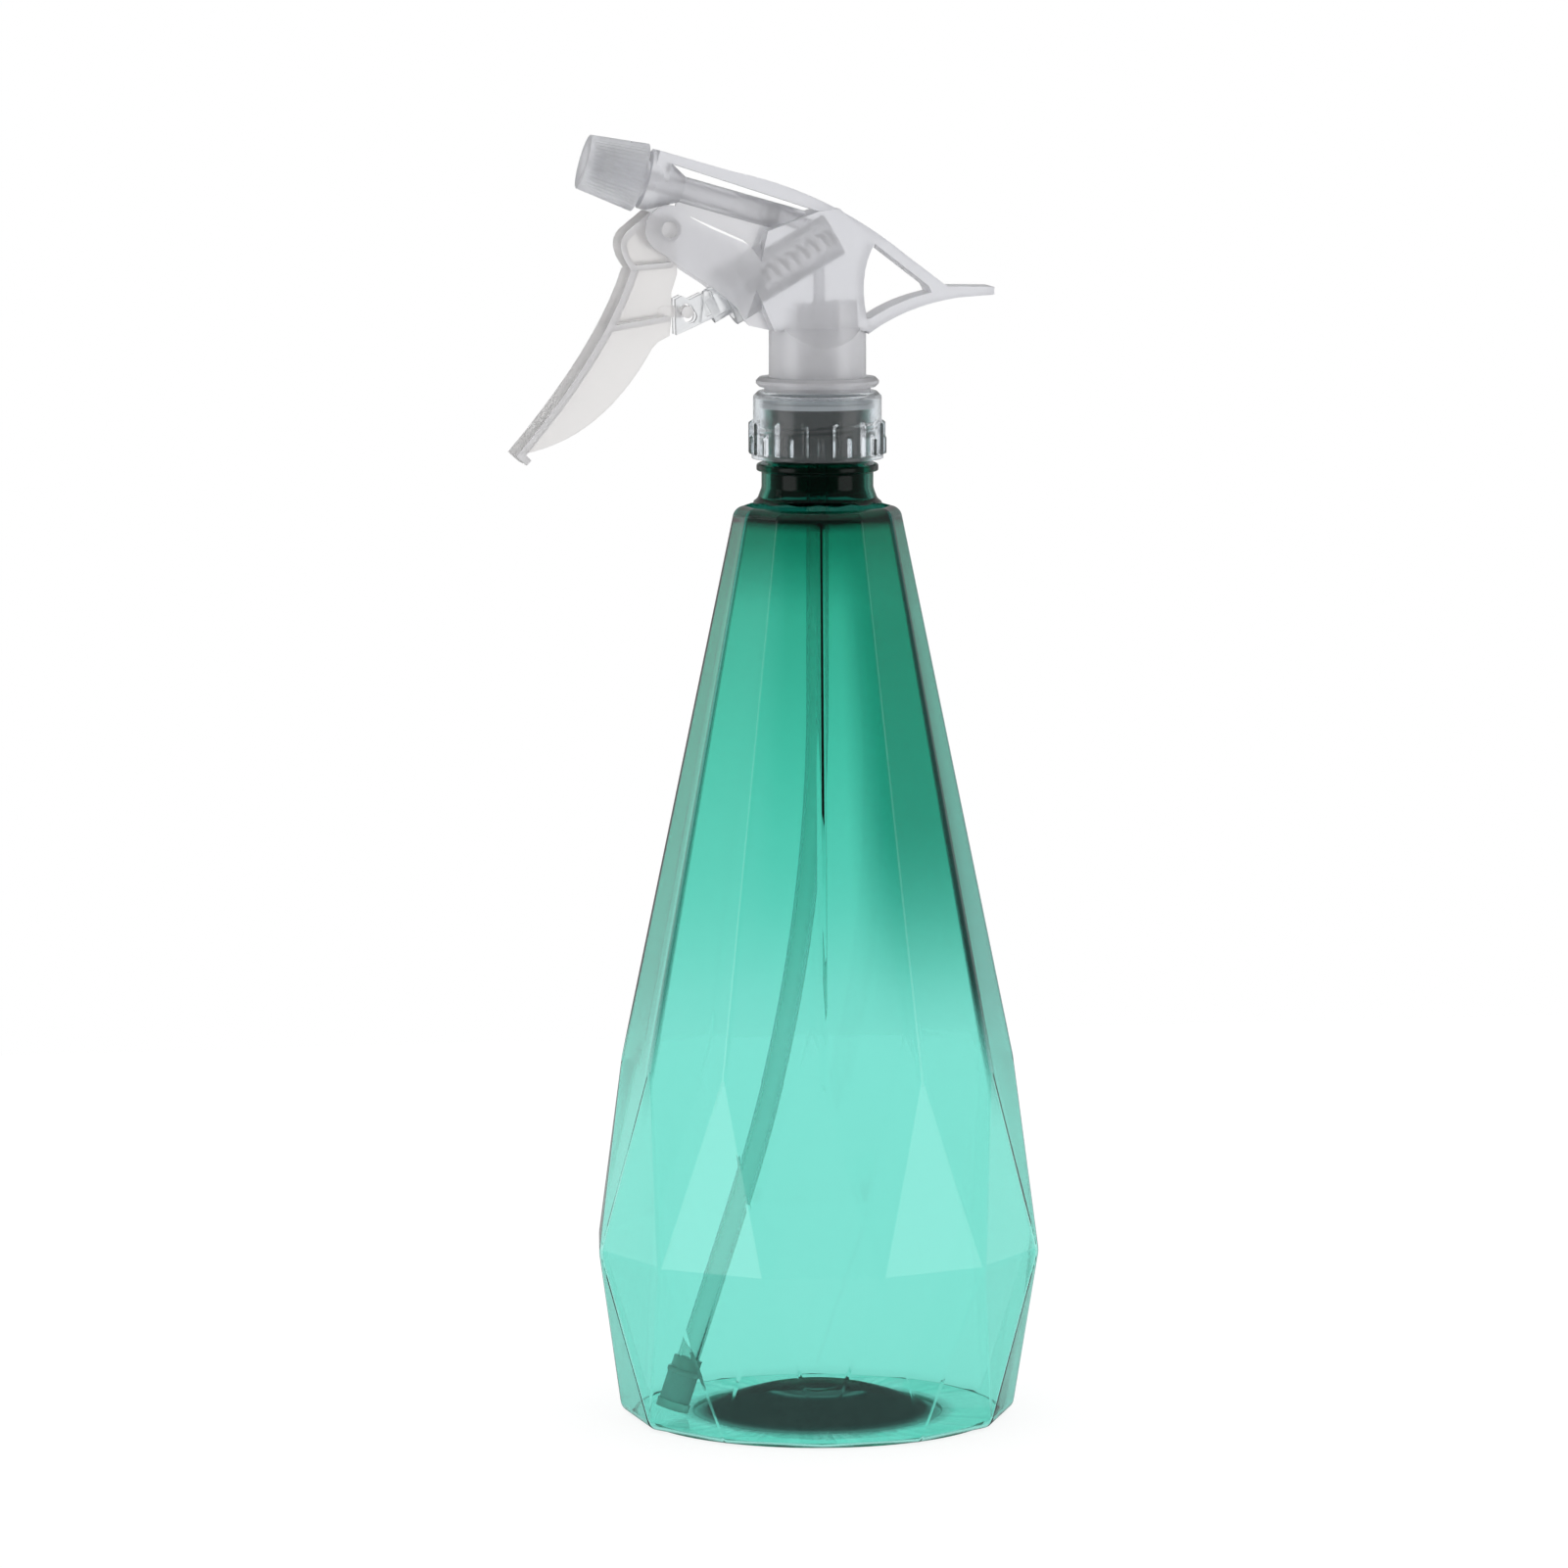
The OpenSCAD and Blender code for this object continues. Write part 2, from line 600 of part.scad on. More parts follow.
module filter_sleeve()
    color([0.75, 0.85, 0.82]) on_tube_end() {
        translate([0, 0, -1]) pipe(filter_r - 0.6, tube_r, 3);
        translate([0, 0, -2]) pipe(filter_r, tube_r - 0.6, 1.2);
    }

module filter_screen()
    color([0.6, 0.7, 0.68]) on_tube_end() translate([0, 0, -filter_len + 2])
        pipe(filter_r - 0.3, filter_r - 0.9, filter_len - 4 - eps);

module filter_end_cap()
    color([0.75, 0.85, 0.82]) on_tube_end() {
        translate([0, 0, -filter_len]) cylinder(r = filter_r, h = 2 - eps);
        translate([0, 0, -filter_len]) cylinder(r = filter_r - 0.95, h = 3.5);
    }

bottle();
collar();
collar_gasket();
housing();
riser_insert();
inlet_ball();
outlet_valve();
outlet_seat();
pump_cylinder_plug();
piston_rod();
piston_cup();
return_spring();
trigger();
trigger_pin();
swirl_core();
nozzle_seal();
nozzle_cap();
dip_tube();
filter_sleeve();
filter_screen();
filter_end_cap();
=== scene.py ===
"""Looks of the hand mister: a faceted clear green bottle with a translucent trigger sprayer."""
import json
import math

import bmesh
import bpy
from mathutils import Matrix, Vector


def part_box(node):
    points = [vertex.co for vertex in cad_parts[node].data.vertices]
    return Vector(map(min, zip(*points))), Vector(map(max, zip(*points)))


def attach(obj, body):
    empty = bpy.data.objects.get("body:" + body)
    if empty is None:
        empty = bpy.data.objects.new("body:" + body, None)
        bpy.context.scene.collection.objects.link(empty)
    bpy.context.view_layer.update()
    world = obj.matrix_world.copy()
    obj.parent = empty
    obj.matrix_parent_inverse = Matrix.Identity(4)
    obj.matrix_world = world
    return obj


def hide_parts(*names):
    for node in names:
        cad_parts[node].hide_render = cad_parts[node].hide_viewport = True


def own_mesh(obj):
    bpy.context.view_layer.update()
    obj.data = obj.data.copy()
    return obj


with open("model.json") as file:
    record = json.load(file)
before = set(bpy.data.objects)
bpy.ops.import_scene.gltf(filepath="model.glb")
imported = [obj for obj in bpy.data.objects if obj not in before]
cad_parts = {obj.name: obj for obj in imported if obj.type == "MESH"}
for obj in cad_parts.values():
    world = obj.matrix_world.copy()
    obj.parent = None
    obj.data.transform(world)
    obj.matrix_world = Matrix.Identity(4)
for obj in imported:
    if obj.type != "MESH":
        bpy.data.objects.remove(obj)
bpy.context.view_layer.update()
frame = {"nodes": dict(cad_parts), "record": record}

MM = 0.001
TURN = 2 * math.pi
scene = bpy.context.scene
joints = {j["name"]: j for j in frame["record"]["behaviour"]["joints"]}

# Lengths below are in millimetres, unless a comment says otherwise.
# Bottle: radii on the base plane and leans of the three families of facets.
LONG_R, LONG_LEAN = 62.5, -0.1994
KITE_R, KITE_LEAN = 57.5, -0.1246
LOW_R, LOW_LEAN = 46.8, 0.133
FACETS = 12
HALF_FACET = math.pi / FACETS
BOTTLE_TURN = math.radians(-8.25)
SHOULDER_Z = 218.3
EDGE_R = 3.0
GIRDLE_EDGE_R = 7.0
FOOT_Z = 0.4
WALL = 0.6
INNER_SOFTENING = 4.0
PUSH_UP_R, PUSH_UP_RISE = 27, 6.6
PUSH_UP_STEPS = ((11.5, 0.5), (5, 0.6))  # inside this radius the raised base drops by this much

# Neck: its wall, the transfer ring and the thread.
NECK_R, RING_R, FINISH_R = 13.25, 14.45, 12.7
RING_LOW, RING_HIGH = 226.6, 228.2
NECK_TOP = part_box("bottle")[1][2] / MM
THREAD_PITCH = 4.233
THREAD_FADE = 0.08  # turns over which a thread rises from nothing at its ends

COLLAR_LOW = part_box("collar")[0][2] / MM
COLLAR_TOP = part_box("collar")[1][2] / MM
COLLAR_RIBS = 26
RIB_LONG, RIB_SHORT = 9.2, 5.9
RIB_HALF_WIDTH, RIB_HEIGHT = 0.7, 1.15

CAP_LENGTH, CAP_BACK_R, CAP_FRONT_R = 14.0, 8.2, 6.5
CAP_FLUTES = 44

# Spring: distances along the pump's axis from the cylinder's mouth, then the coil itself.
PUMP_MOUTH = (-21.3, 0, 268.2)
SPRING_START, SPRING_END, SPRING_SEAT = 8.35, 28.35, 28.5
SPRING_R, WIRE_R, SPRING_TURNS = 2.75, 0.42, 8
CLOSED_TURNS, CLOSED_CLIMB = 0.9, 0.06  # flat turns at each end, and their climb a turn

# Dip tube: a straight part, a bend in degrees, and a straight tail.
TUBE_R, TUBE_BORE_R = 2.64, 1.85
TUBE_STRAIGHT, TUBE_BEND_R, TUBE_BEND, TUBE_TAIL = 69.0, 385.0, 18.5, 39.3
TUBE_AZIMUTH = 185

# Bottle's green: by share of the height.
GREEN_BY_HEIGHT = (
    (0.0, (0.55, 0.90, 0.85)), (0.40, (0.54, 0.90, 0.85)), (0.53, (0.36, 0.81, 0.73)),
    (0.66, (0.27, 0.75, 0.65)), (0.80, (0.20, 0.66, 0.55)), (0.87, (0.04, 0.42, 0.32)),
    (1.0, (0.02, 0.30, 0.23)))
# Painted shade in the middle of the base, where the plastic is also thicker: how dark,
# by share of the reach from the axis in metres.
BASE_REACH = 0.034
BASE_SHADE_RINGS = ((0.0, 0.8), (0.1, 1.0), (0.17, 0.5), (0.24, 1.0), (0.32, 0.75), (0.38, 1.0),
              (0.76, 1.0), (0.98, 0.0))
# Painted shade and painted highlight, in upright bands fixed round the bottle: azimuth and
# half-widths of fade and core in degrees, strength, colour, and True for a band of the full
# height or False for one in the upper part.
FRONT_EDGE = math.degrees(BOTTLE_TURN) - 90
PAINTED_LIGHT_BANDS = (
    (-55, 34, 9, 0.9, (0.02, 0.35, 0.26), False),
    (-145, 30, 8, 0.3, (0.6, 0.93, 0.88), False),
    (FRONT_EDGE - 78, 17, 12, 0.6, (0.14, 0.42, 0.36), True),
    (FRONT_EDGE + 78, 17, 12, 0.5, (0.35, 0.46, 0.46), True),
    (FRONT_EDGE - 60, 2.4, 1.0, 0.8, (0.02, 0.18, 0.15), True),
    (FRONT_EDGE + 60, 3.2, 1.6, 1.0, (0.002, 0.05, 0.045), True))
SHOULDER_GREEN = (0.001, 0.06, 0.045)
BASE_SHADE_GREEN = (0.0003, 0.012, 0.011)
GREEN_ABSORBED, GREEN_DENSITY = (0.1, 0.83, 0.72), 300

# Studio: azimuth, full and outer half-width of each soft box round the object in degrees, and
# how much it adds; the last one is the dark side behind the photographer.
STUDIO = ((-160, 12, 20, 1.5), (-40, 12, 20, 1.2), (30, 12, 20, 0.4), (130, 12, 20, 0.5),
          (-98, 32, 50, -0.25))
ROOM_LIGHT = 0.35
DIFFUSE_LIGHT = 0.92
CEILING_LIGHT = 0.45
FLOOR_HALF_SIZE = 0.6  # metres
FLOOR_LIGHT = 0.86
FLOOR_MIRROR_LOSS = 0.7

# Camera: azimuth and pitch in degrees, distance from the axis and height in metres, lens and
# sensor in millimetres, and shift as a share of the frame.
CAMERA_AZIMUTH, CAMERA_PITCH = -10, -6.9
CAMERA_DISTANCE, CAMERA_HEIGHT = 1.85, 0.37
CAMERA_LENS, CAMERA_SENSOR = 179.88757, 36
CAMERA_SHIFT_X, CAMERA_SHIFT_Y = -0.02129919, 0.01530294


# ---------------------------------------------------------------- mesh helpers
def new_object(name, verts, faces):
    """An object from vertices in millimetres."""
    mesh = bpy.data.meshes.new(name)
    mesh.from_pydata([Vector(v) * MM for v in verts], [], faces)
    mesh.validate()
    mesh.update()
    obj = bpy.data.objects.new(name, mesh)
    scene.collection.objects.link(obj)
    return obj


def turn_faces_outward(obj):
    bm = bmesh.new()
    bm.from_mesh(obj.data)
    bmesh.ops.recalc_face_normals(bm, faces=bm.faces)
    bm.to_mesh(obj.data)
    bm.free()


def smooth(obj, angle, weighted=True):
    """Shade smooth across edges flatter than angle degrees."""
    obj.data.shade_smooth()
    obj.data.set_sharp_from_angle(angle=math.radians(angle))
    if weighted:
        mod = obj.modifiers.new("normals", "WEIGHTED_NORMAL")
        mod.keep_sharp = True


def apply_modifiers(obj):
    bpy.context.view_layer.update()
    graph = bpy.context.evaluated_depsgraph_get()
    mesh = bpy.data.meshes.new_from_object(obj.evaluated_get(graph))
    obj.modifiers.clear()
    obj.data = mesh


def boolean(obj, tool, operation):
    """Join the tool to the object or cut it out, and remove the tool."""
    mod = obj.modifiers.new(operation, "BOOLEAN")
    mod.operation = operation
    mod.solver = "EXACT"
    mod.object = tool
    apply_modifiers(obj)
    bpy.data.objects.remove(tool)


def loft(name, rings, closed=False):
    """Skin through rings of points that all have the same count, with flat ends or closed."""
    n, sides = len(rings), len(rings[0])
    verts = [p for ring in rings for p in ring]
    faces = []
    for i in range(n if closed else n - 1):
        j = (i + 1) % n
        for k in range(sides):
            m = (k + 1) % sides
            faces.append((i * sides + k, i * sides + m, j * sides + m, j * sides + k))
    if not closed:
        faces.append(tuple(range(sides))[::-1])
        faces.append(tuple((n - 1) * sides + k for k in range(sides)))
    obj = new_object(name, verts, faces)
    turn_faces_outward(obj)
    return obj


def turned(name, path, sides=96, radius=None, closed=True):
    """Turn a path of (r, z) about Z. radius(angle, r, z) may shape each point's radius."""
    rings = []
    for r, z in path:
        ring = []
        for k in range(sides):
            a = TURN * k / sides
            rr = radius(a, r, z) if radius else r
            ring.append((rr * math.cos(a), rr * math.sin(a), z))
        rings.append(ring)
    return loft(name, rings, closed)


def sweep(name, points, radius, sides, bore=0):
    """Round bar along a path of points, with an optional bore."""
    pts = [Vector(p) for p in points]
    frames = []
    side = Vector((0, 1, 0))
    for i, p in enumerate(pts):
        along = (pts[min(i + 1, len(pts) - 1)] - pts[max(i - 1, 0)]).normalized()
        side = (side - along * side.dot(along)).normalized()
        frames.append((p, side, along.cross(side)))

    def ring(p, u, v, r):
        return [tuple(p + r * (math.cos(TURN * k / sides) * u + math.sin(TURN * k / sides) * v))
                for k in range(sides)]

    rings = [ring(*f, radius) for f in frames]
    if bore:
        rings += [ring(*f, bore) for f in frames[::-1]]
    return loft(name, rings, closed=bore > 0)


def fine(path, step):
    """The same path with points no further apart than step."""
    out = []
    for (r0, z0), (r1, z1) in zip(path, path[1:]):
        n = max(1, math.ceil(math.hypot(r1 - r0, z1 - z0) / step))
        out += [(r0 + (r1 - r0) * i / n, z0 + (z1 - z0) * i / n) for i in range(n)]
    return out + [path[-1]]


def softened(path, radius, closed=True):
    """Round every corner of a path of (r, z) with a small arc-like curve."""
    out = []
    n, steps, reach = len(path), 4, 0.45
    for i, p in enumerate(path):
        if not closed and i in (0, n - 1):
            out.append(p)
            continue
        a, b = Vector(path[i - 1]), Vector(path[(i + 1) % n])
        p = Vector(p)
        r = min(radius, (a - p).length * reach, (b - p).length * reach)
        start, end = p + (a - p).normalized() * r, p + (b - p).normalized() * r
        for k in range(steps + 1):
            t = k / steps
            q = (1 - t) ** 2 * start + 2 * t * (1 - t) * p + t ** 2 * end
            out.append((q.x, q.y))
    return out


def along_axis(obj, origin, direction):
    """Move a piece made along +Z to an origin in metres and a direction in the XZ plane."""
    d = Vector(direction)
    turn = Matrix.Rotation(math.atan2(d.x, d.z), 4, "Y")
    obj.data.transform(Matrix.Translation(Vector(origin)) @ turn)
    obj.data.update()


def finish_piece(obj, body, material, slot, *nodes):
    """Give a new piece its material, hang it on its body's empty and hide the CAD parts that it
    replaces.
    """
    obj.data.materials.clear()
    obj.data.materials.append(material)
    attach(obj, body)
    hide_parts(*nodes)


# ---------------------------------------------------------------- material helpers
def principled(name, **inputs):
    """A new material whose Principled shader has these constant inputs."""
    mat = bpy.data.materials.new(name)
    mat.use_nodes = True
    shader = mat.node_tree.nodes["Principled BSDF"]
    for key, value in inputs.items():
        shader.inputs[key.replace("_", " ")].default_value = value
    return mat, mat.node_tree.nodes, mat.node_tree.links, shader


def map_range(nodes, links, value, settings, kind="LINEAR"):
    """A Map Range node with some of its inputs set."""
    spread = nodes.new("ShaderNodeMapRange")
    spread.interpolation_type = kind
    for key, number in settings.items():
        spread.inputs[key].default_value = number
    links.new(value, spread.inputs["Value"])
    return spread.outputs["Result"]


def smooth_step(nodes, links, value, start, end):
    """0 before start, 1 after end, smooth between them."""
    return map_range(nodes, links, value, {"From Min": start, "From Max": end}, "SMOOTHSTEP")


def combine(nodes, links, operation, first, second):
    """A Math node fed by numbers or sockets."""
    math_node = nodes.new("ShaderNodeMath")
    math_node.operation = operation
    for socket, value in zip(math_node.inputs, (first, second)):
        if isinstance(value, (int, float)):
            socket.default_value = value
        else:
            links.new(value, socket)
    return math_node.outputs["Value"]


def vector_node(nodes, links, operation, vector, by=None):
    """A Vector Math node, with a constant second vector where it needs one."""
    node = nodes.new("ShaderNodeVectorMath")
    node.operation = operation
    links.new(vector, node.inputs[0])
    if by:
        node.inputs[1].default_value = by
    return node.outputs["Value" if operation in ("DOT_PRODUCT", "LENGTH") else "Vector"]


def toward(nodes, links, direction, azimuth, outer, inner):
    """1 where a level direction is within inner degrees of an azimuth, 0 beyond outer."""
    a = math.radians(azimuth)
    dot = vector_node(nodes, links, "DOT_PRODUCT", direction, (math.cos(a), math.sin(a), 0))
    return smooth_step(nodes, links, dot, math.cos(math.radians(outer)),
                       math.cos(math.radians(inner)))


def blend_colour(nodes, links, factor, first, second):
    """A colour that goes from first to second, each a socket or a plain colour."""
    mix = nodes.new("ShaderNodeMix")
    mix.data_type = "RGBA"
    links.new(factor, mix.inputs["Factor"])
    for socket, value in ((mix.inputs["A"], first), (mix.inputs["B"], second)):
        if isinstance(value, tuple):
            socket.default_value = (*value, 1)
        else:
            links.new(value, socket)
    return mix.outputs["Result"]


def colour_ramp(nodes, links, value, stops):
    """A ramp through (position, colour) stops."""
    ramp = nodes.new("ShaderNodeValToRGB")
    elements = ramp.color_ramp.elements
    while len(elements) < len(stops):
        elements.new(0.5)
    for element, (position, colour) in zip(elements, stops):
        element.position, element.color = position, (*colour, 1)
    links.new(value, ramp.inputs["Fac"])
    return ramp.outputs["Color"]


def add_bump(nodes, links, shader, scale, strength, distance, stretch=(1, 1, 1)):
    """Fine waviness of the surface; returns the noise that makes it."""
    coords = nodes.new("ShaderNodeTexCoord")
    mapping = nodes.new("ShaderNodeMapping")
    mapping.inputs["Scale"].default_value = stretch
    noise = nodes.new("ShaderNodeTexNoise")
    noise.inputs["Scale"].default_value = scale
    noise.inputs["Detail"].default_value = 3
    bump = nodes.new("ShaderNodeBump")
    bump.inputs["Strength"].default_value = strength
    bump.inputs["Distance"].default_value = distance
    links.new(coords.outputs["Object"], mapping.inputs["Vector"])
    links.new(mapping.outputs["Vector"], noise.inputs["Vector"])
    links.new(noise.outputs["Fac"], bump.inputs["Height"])
    links.new(bump.outputs["Normal"], shader.inputs["Normal"])
    return noise


def absorb(mat, colour, density):
    """Colour the light by the thickness that it goes through."""
    nodes, links = mat.node_tree.nodes, mat.node_tree.links
    volume = nodes.new("ShaderNodeVolumeAbsorption")
    volume.inputs["Color"].default_value = (*colour, 1)
    volume.inputs["Density"].default_value = density
    links.new(volume.outputs["Volume"], nodes["Material Output"].inputs["Volume"])


# ---------------------------------------------------------------- materials
def natural_plastic(name, tint, rough, colour, density, transmission):
    """Milky moulded plastic that greys with thickness."""
    mat, nodes, links, shader = principled(name, Base_Color=(*tint, 1), IOR=1.49,
                                           Transmission_Weight=transmission)
    noise = add_bump(nodes, links, shader, 300, 0.05, 0.0001)
    uneven = map_range(nodes, links, noise.outputs["Fac"],
                       {"To Min": rough - 0.05, "To Max": rough + 0.05})
    links.new(uneven, shader.inputs["Roughness"])
    absorb(mat, colour, density)
    return mat


def bottle_plastic(name, refraction):
    """Clear green, darker at the neck, with painted shade in the base's middle and painted shade
    and highlight in some upright bands.
    """
    mat, nodes, links, shader = principled(name, IOR=refraction, Transmission_Weight=1.0,
                                           Roughness=0.02)
    coords = nodes.new("ShaderNodeTexCoord").outputs["Object"]
    split = nodes.new("ShaderNodeSeparateXYZ")
    links.new(coords, split.inputs["Vector"])
    z = split.outputs["Z"]
    height = map_range(nodes, links, z, {"From Max": NECK_TOP * MM})
    green_at = colour_ramp(nodes, links, height, GREEN_BY_HEIGHT)
    shoulder = smooth_step(nodes, links, z, (SHOULDER_Z - 5.5) * MM, (SHOULDER_Z - 2.5) * MM)
    green_at = blend_colour(nodes, links, shoulder, green_at, SHOULDER_GREEN)

    # Painted shade in the base's middle, in rings about the axis.
    flat = vector_node(nodes, links, "MULTIPLY", coords, (1 / BASE_REACH, 1 / BASE_REACH, 0))
    radius = vector_node(nodes, links, "LENGTH", flat)
    rings = colour_ramp(nodes, links, radius, [(at, (dark,) * 3) for at, dark in BASE_SHADE_RINGS])
    low = smooth_step(nodes, links, z, 0.02, 0.012)
    base_shade = combine(nodes, links, "MULTIPLY", rings, low)
    green_at = blend_colour(nodes, links, base_shade, green_at, BASE_SHADE_GREEN)

    upper = combine(nodes, links, "MULTIPLY", smooth_step(nodes, links, z, 0.09, 0.15),
                    smooth_step(nodes, links, z, 0.225, 0.19))
    full = smooth_step(nodes, links, z, 0.07, 0.11)
    around = vector_node(nodes, links, "NORMALIZE", flat)
    # Paint the upright bands of shade and highlight over the green.
    for azimuth, fade, core, strength, colour, full_height in PAINTED_LIGHT_BANDS:
        painted_band = toward(nodes, links, around, azimuth, fade, core)
        painted_band = combine(nodes, links, "MULTIPLY", painted_band, full if full_height else upper)
        painted_band = combine(nodes, links, "MULTIPLY", painted_band, strength)
        green_at = blend_colour(nodes, links, painted_band, green_at, colour)
    links.new(green_at, shader.inputs["Base Color"])
    add_bump(nodes, links, shader, 60, 0.05, 0.0006, (1, 1, 0.35))
    absorb(mat, GREEN_ABSORBED, GREEN_DENSITY)
    return mat


def screen_weave():
    """Fine woven nylon: threads around and along the filter."""
    mat, nodes, links, shader = principled("filter_mesh", Base_Color=(0.62, 0.78, 0.74, 1),
                                           Roughness=0.55, Transmission_Weight=0.35)
    coords = nodes.new("ShaderNodeTexCoord")
    weave = nodes.new("ShaderNodeTexChecker")
    weave.inputs["Scale"].default_value = 1600
    bump = nodes.new("ShaderNodeBump")
    bump.inputs["Strength"].default_value = 0.6
    bump.inputs["Distance"].default_value = 0.0003
    links.new(coords.outputs["Object"], weave.inputs["Vector"])
    links.new(weave.outputs["Fac"], bump.inputs["Height"])
    links.new(bump.outputs["Normal"], shader.inputs["Normal"])
    return mat


def spring_steel():
    mat, nodes, links, shader = principled("spring_steel", Base_Color=(0.16, 0.165, 0.18, 1),
                                           Metallic=1.0, Roughness=0.28)
    add_bump(nodes, links, shader, 2500, 0.15, 0.0001, (1, 1, 6))
    return mat


# Plastics: tint, roughness, colour and density (a metre) of what is absorbed, transmission.
PP_GREY = (0.55, 0.58, 0.66)
green = bottle_plastic("bottle_green", 1.5)
green_base = bottle_plastic("bottle_base_green", 1.01)
green_neck = bottle_plastic("bottle_neck_green", 1.25)
housing_pp = natural_plastic("natural_pp", (0.935, 0.935, 0.955), 0.32, PP_GREY, 26, 0.7)
nozzle_pp = natural_plastic("nozzle_pp", (0.94, 0.945, 0.965), 0.3, PP_GREY, 26, 0.78)
collar_pp = natural_plastic("collar_pp", (0.91, 0.955, 0.985), 0.18, PP_GREY, 12, 0.985)
trigger_pp = natural_plastic("trigger_pp", (0.94, 0.925, 0.915), 0.3, (0.55, 0.57, 0.63),
                             45, 0.82)
rod_pp = natural_plastic("clear_pp", (0.96, 0.965, 0.97), 0.3, (0.6, 0.66, 0.73), 30, 0.97)
valve_pe = natural_plastic("natural_pe", (0.96, 0.965, 0.975), 0.3, (0.6, 0.63, 0.68), 8, 0.88)
tube_pe = natural_plastic("tube_pe", (0.95, 0.98, 0.97), 0.12, (0.25, 0.55, 0.5), 300, 0.97)
filter_pe = natural_plastic("filter_pe", (0.72, 0.86, 0.81), 0.3, (0.45, 0.6, 0.56), 90, 0.7)
cup_pe = natural_plastic("grey_pe", (0.9, 0.905, 0.93), 0.3, (0.5, 0.55, 0.6), 30, 0.9)
foam = natural_plastic("gasket_foam", (0.95, 0.955, 0.96), 0.5, (0.6, 0.62, 0.62), 10, 0.5)
mesh_pe = screen_weave()
steel = spring_steel()


# ---------------------------------------------------------------- bottle
def facet_r(base, lean, z, inset):
    """Radius of a facet at a level, moved in by inset square to the facet."""
    return base + lean * z - inset * math.hypot(1, lean)


def meeting(a, b, c, d):
    """Where a line from a with slope b meets one from c with slope d."""
    return (c - a) / (b - d)


def gem(name, wall, soft=0):
    """The faceted body with its faces moved in by wall, as the hull of balls at its corners.
    soft makes the edges rounder, which leaves more plastic along them."""
    corner = math.cos(HALF_FACET)
    low, high = FOOT_Z + EDGE_R, SHOULDER_Z - EDGE_R - soft / 2
    e, g, top = EDGE_R, GIRDLE_EDGE_R + soft / 2, EDGE_R + soft
    girdle = meeting(facet_r(LOW_R, LOW_LEAN, 0, g), LOW_LEAN,
                     facet_r(KITE_R, KITE_LEAN, 0, g), KITE_LEAN)
    apex = meeting(facet_r(LONG_R, LONG_LEAN, 0, top) / corner, LONG_LEAN / corner,
                   facet_r(KITE_R, KITE_LEAN, 0, top), KITE_LEAN)
    rows = ((facet_r(LOW_R, LOW_LEAN, low, e), low, 0, e),
            (facet_r(KITE_R, KITE_LEAN, girdle, g) / corner, girdle, HALF_FACET, g),
            (facet_r(KITE_R, KITE_LEAN, apex, top), apex, 0, top),
            (facet_r(LONG_R, LONG_LEAN, high, top) / corner, high, 0, top))
    bm = bmesh.new()
    for r, z, shift, ball in rows:
        for i in range(FACETS):
            a = BOTTLE_TURN + shift + TURN * i / FACETS
            at = Vector((r * math.cos(a), r * math.sin(a), z))
            turn = Matrix.Rotation(a, 4, "Z")
            bmesh.ops.create_uvsphere(bm, u_segments=36, v_segments=24,
                                      radius=(ball - wall) * MM,
                                      matrix=Matrix.Translation(at * MM) @ turn)
    made = bmesh.ops.convex_hull(bm, input=bm.verts)
    inside = {v for key in ("geom_interior", "geom_unused") for v in made[key]
              if isinstance(v, bmesh.types.BMVert)}
    bmesh.ops.delete(bm, geom=list(inside), context="VERTS")
    bmesh.ops.remove_doubles(bm, verts=bm.verts, dist=1e-6)
    bmesh.ops.dissolve_limit(bm, angle_limit=math.radians(0.05), verts=bm.verts, edges=bm.edges)
    bmesh.ops.recalc_face_normals(bm, faces=bm.faces)
    mesh = bpy.data.meshes.new(name)
    bm.to_mesh(mesh)
    bm.free()
    obj = bpy.data.objects.new(name, mesh)
    scene.collection.objects.link(obj)
    return obj


def thread_bulge(a, z, start, turns, height, width):
    """Height of a rounded helical thread at an angle and level."""
    best = 0.0
    for n in range(-1, math.ceil(turns) + 1):
        t = n + a / TURN
        if 0 <= t <= turns:
            off = abs(z - start - THREAD_PITCH * t)
            fade = min(1.0, t / THREAD_FADE, (turns - t) / THREAD_FADE)
            best = max(best, fade * height * max(0.0, min(1.0, (width - off) / (width * 0.45))))
    return best


def neck_solid():
    """Shoulder rim, neck, transfer ring and thread, filled."""
    s = SHOULDER_Z
    outline = softened([(16.3, s - 3), (16.3, s + 0.2), (14.2, s + 1.8), (NECK_R, s + 4.4),
                        (NECK_R, RING_LOW), (RING_R, RING_LOW), (RING_R, RING_HIGH),
                        (FINISH_R, 228.9), (FINISH_R, NECK_TOP)], 0.5, closed=False)

    def shape(a, r, z):
        return r + (thread_bulge(a, z, 231.6, 1.5, 1.1, 1.15) if z > 229.5 else 0)

    return turned("neck", fine(outline, 0.35), 120, shape, closed=False)


def push_up_path(extra):
    """The raised middle of the base, with two shallow rings, from the rim to the centre."""
    rim = PUSH_UP_R + extra
    path = [(rim, -1), (rim, FOOT_Z)]
    for i in range(1, 19):
        r = rim * (1 - i / 18.5)
        z = FOOT_Z + PUSH_UP_RISE * (1 - (r / rim) ** 2) + extra
        for inside, drop in PUSH_UP_STEPS:
            z -= drop if r < inside else 0
        path.append((r, z))
    return path


